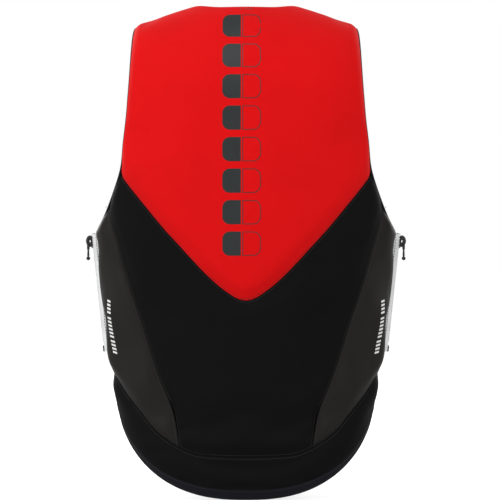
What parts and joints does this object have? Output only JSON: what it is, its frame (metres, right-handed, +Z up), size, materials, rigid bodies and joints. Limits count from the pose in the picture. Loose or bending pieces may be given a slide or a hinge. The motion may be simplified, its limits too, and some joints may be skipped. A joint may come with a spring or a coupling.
{
  "type": "life jacket",
  "caption": "Padded side-entry buoyancy vest of foam between neoprene skins, with a zip down each side and a lift-away front half.",
  "frame": {"origin": "middle of the neck, on the plane of the side zips, at the height of the shoulder crest", "axes": "+Z up the wearer's body, +Y out of the back, +X to the wearer's left"},
  "size_m": [0.3984, 0.255, 0.6064],
  "materials": {
    "red_neoprene": "matte",
    "black_neoprene": "matte",
    "grip_neoprene": "satin",
    "navy_binding": "matte",
    "buoyancy_foam": "matte",
    "mesh_lining": "matte",
    "zip_tape": "matte",
    "zip_teeth": "satin",
    "moulded_black": "satin"
  },
  "bodies": {
    "back_half": {"back_yoke": "red_neoprene", "back_centre_panel": "black_neoprene", "back_side_panel_left": "grip_neoprene", "back_side_panel_right": "grip_neoprene", "back_hem_panel": "black_neoprene", "back_upper_foam": "buoyancy_foam", "back_lower_foam": "buoyancy_foam", "back_side_foam_left": "buoyancy_foam", "back_side_foam_right": "buoyancy_foam", "back_hem_foam": "buoyancy_foam", "back_lining": "mesh_lining", "back_neck_binding": "red_neoprene", "back_armhole_binding_left": "navy_binding", "back_armhole_binding_right": "navy_binding", "back_hem_binding": "navy_binding", "back_zip_tape_left": "zip_tape", "back_zip_teeth_left": "zip_teeth", "zip_box_left": "moulded_black", "zip_flap_left": "mesh_lining", "back_zip_tape_right": "zip_tape", "back_zip_teeth_right": "zip_teeth", "zip_box_right": "moulded_black", "zip_flap_right": "mesh_lining", "hanger_loop": "navy_binding"},
    "front_half": {"front_yoke": "red_neoprene", "front_centre_panel": "black_neoprene", "front_side_panel_left": "grip_neoprene", "front_side_panel_right": "grip_neoprene", "front_hem_panel": "black_neoprene", "front_upper_foam": "buoyancy_foam", "front_lower_foam": "buoyancy_foam", "front_side_foam_left": "buoyancy_foam", "front_side_foam_right": "buoyancy_foam", "front_hem_foam": "buoyancy_foam", "front_lining": "mesh_lining", "front_neck_binding": "red_neoprene", "front_armhole_binding_left": "navy_binding", "front_armhole_binding_right": "navy_binding", "front_hem_binding": "navy_binding", "front_zip_tape_left": "zip_tape", "front_zip_teeth_left": "zip_teeth", "front_zip_tape_right": "zip_tape", "front_zip_teeth_right": "zip_teeth"},
    "slider_left": {"zip_slider_left": "moulded_black"},
    "slider_right": {"zip_slider_right": "moulded_black"},
    "puller_left": {"zip_puller_left": "moulded_black"},
    "puller_right": {"zip_puller_right": "moulded_black"}
  },
  "joints": [
    {"name": "front_swing", "type": "hinge", "parent": "back_half", "child": "front_half", "pos_m": [0, 0, 0.0006], "axis": [-1, 0, 0], "range_deg": [0, 35]},
    {"name": "zip_slide_left", "type": "slide", "parent": "back_half", "child": "slider_left", "axis": [-0.1044, 0, -0.9945], "range_m": [0, 0.12]},
    {"name": "puller_swing_left", "type": "hinge", "parent": "slider_left", "child": "puller_left", "pos_m": [0.19596, 0, -0.29319], "axis": [0, -1, 0], "range_deg": [-5, 110]},
    {"name": "zip_slide_right", "type": "slide", "parent": "back_half", "child": "slider_right", "axis": [0.1044, 0, -0.9945], "range_m": [0, 0.12]},
    {"name": "puller_swing_right", "type": "hinge", "parent": "slider_right", "child": "puller_right", "pos_m": [-0.19596, 0, -0.29319], "axis": [0, 1, 0], "range_deg": [-5, 110]}
  ]
}
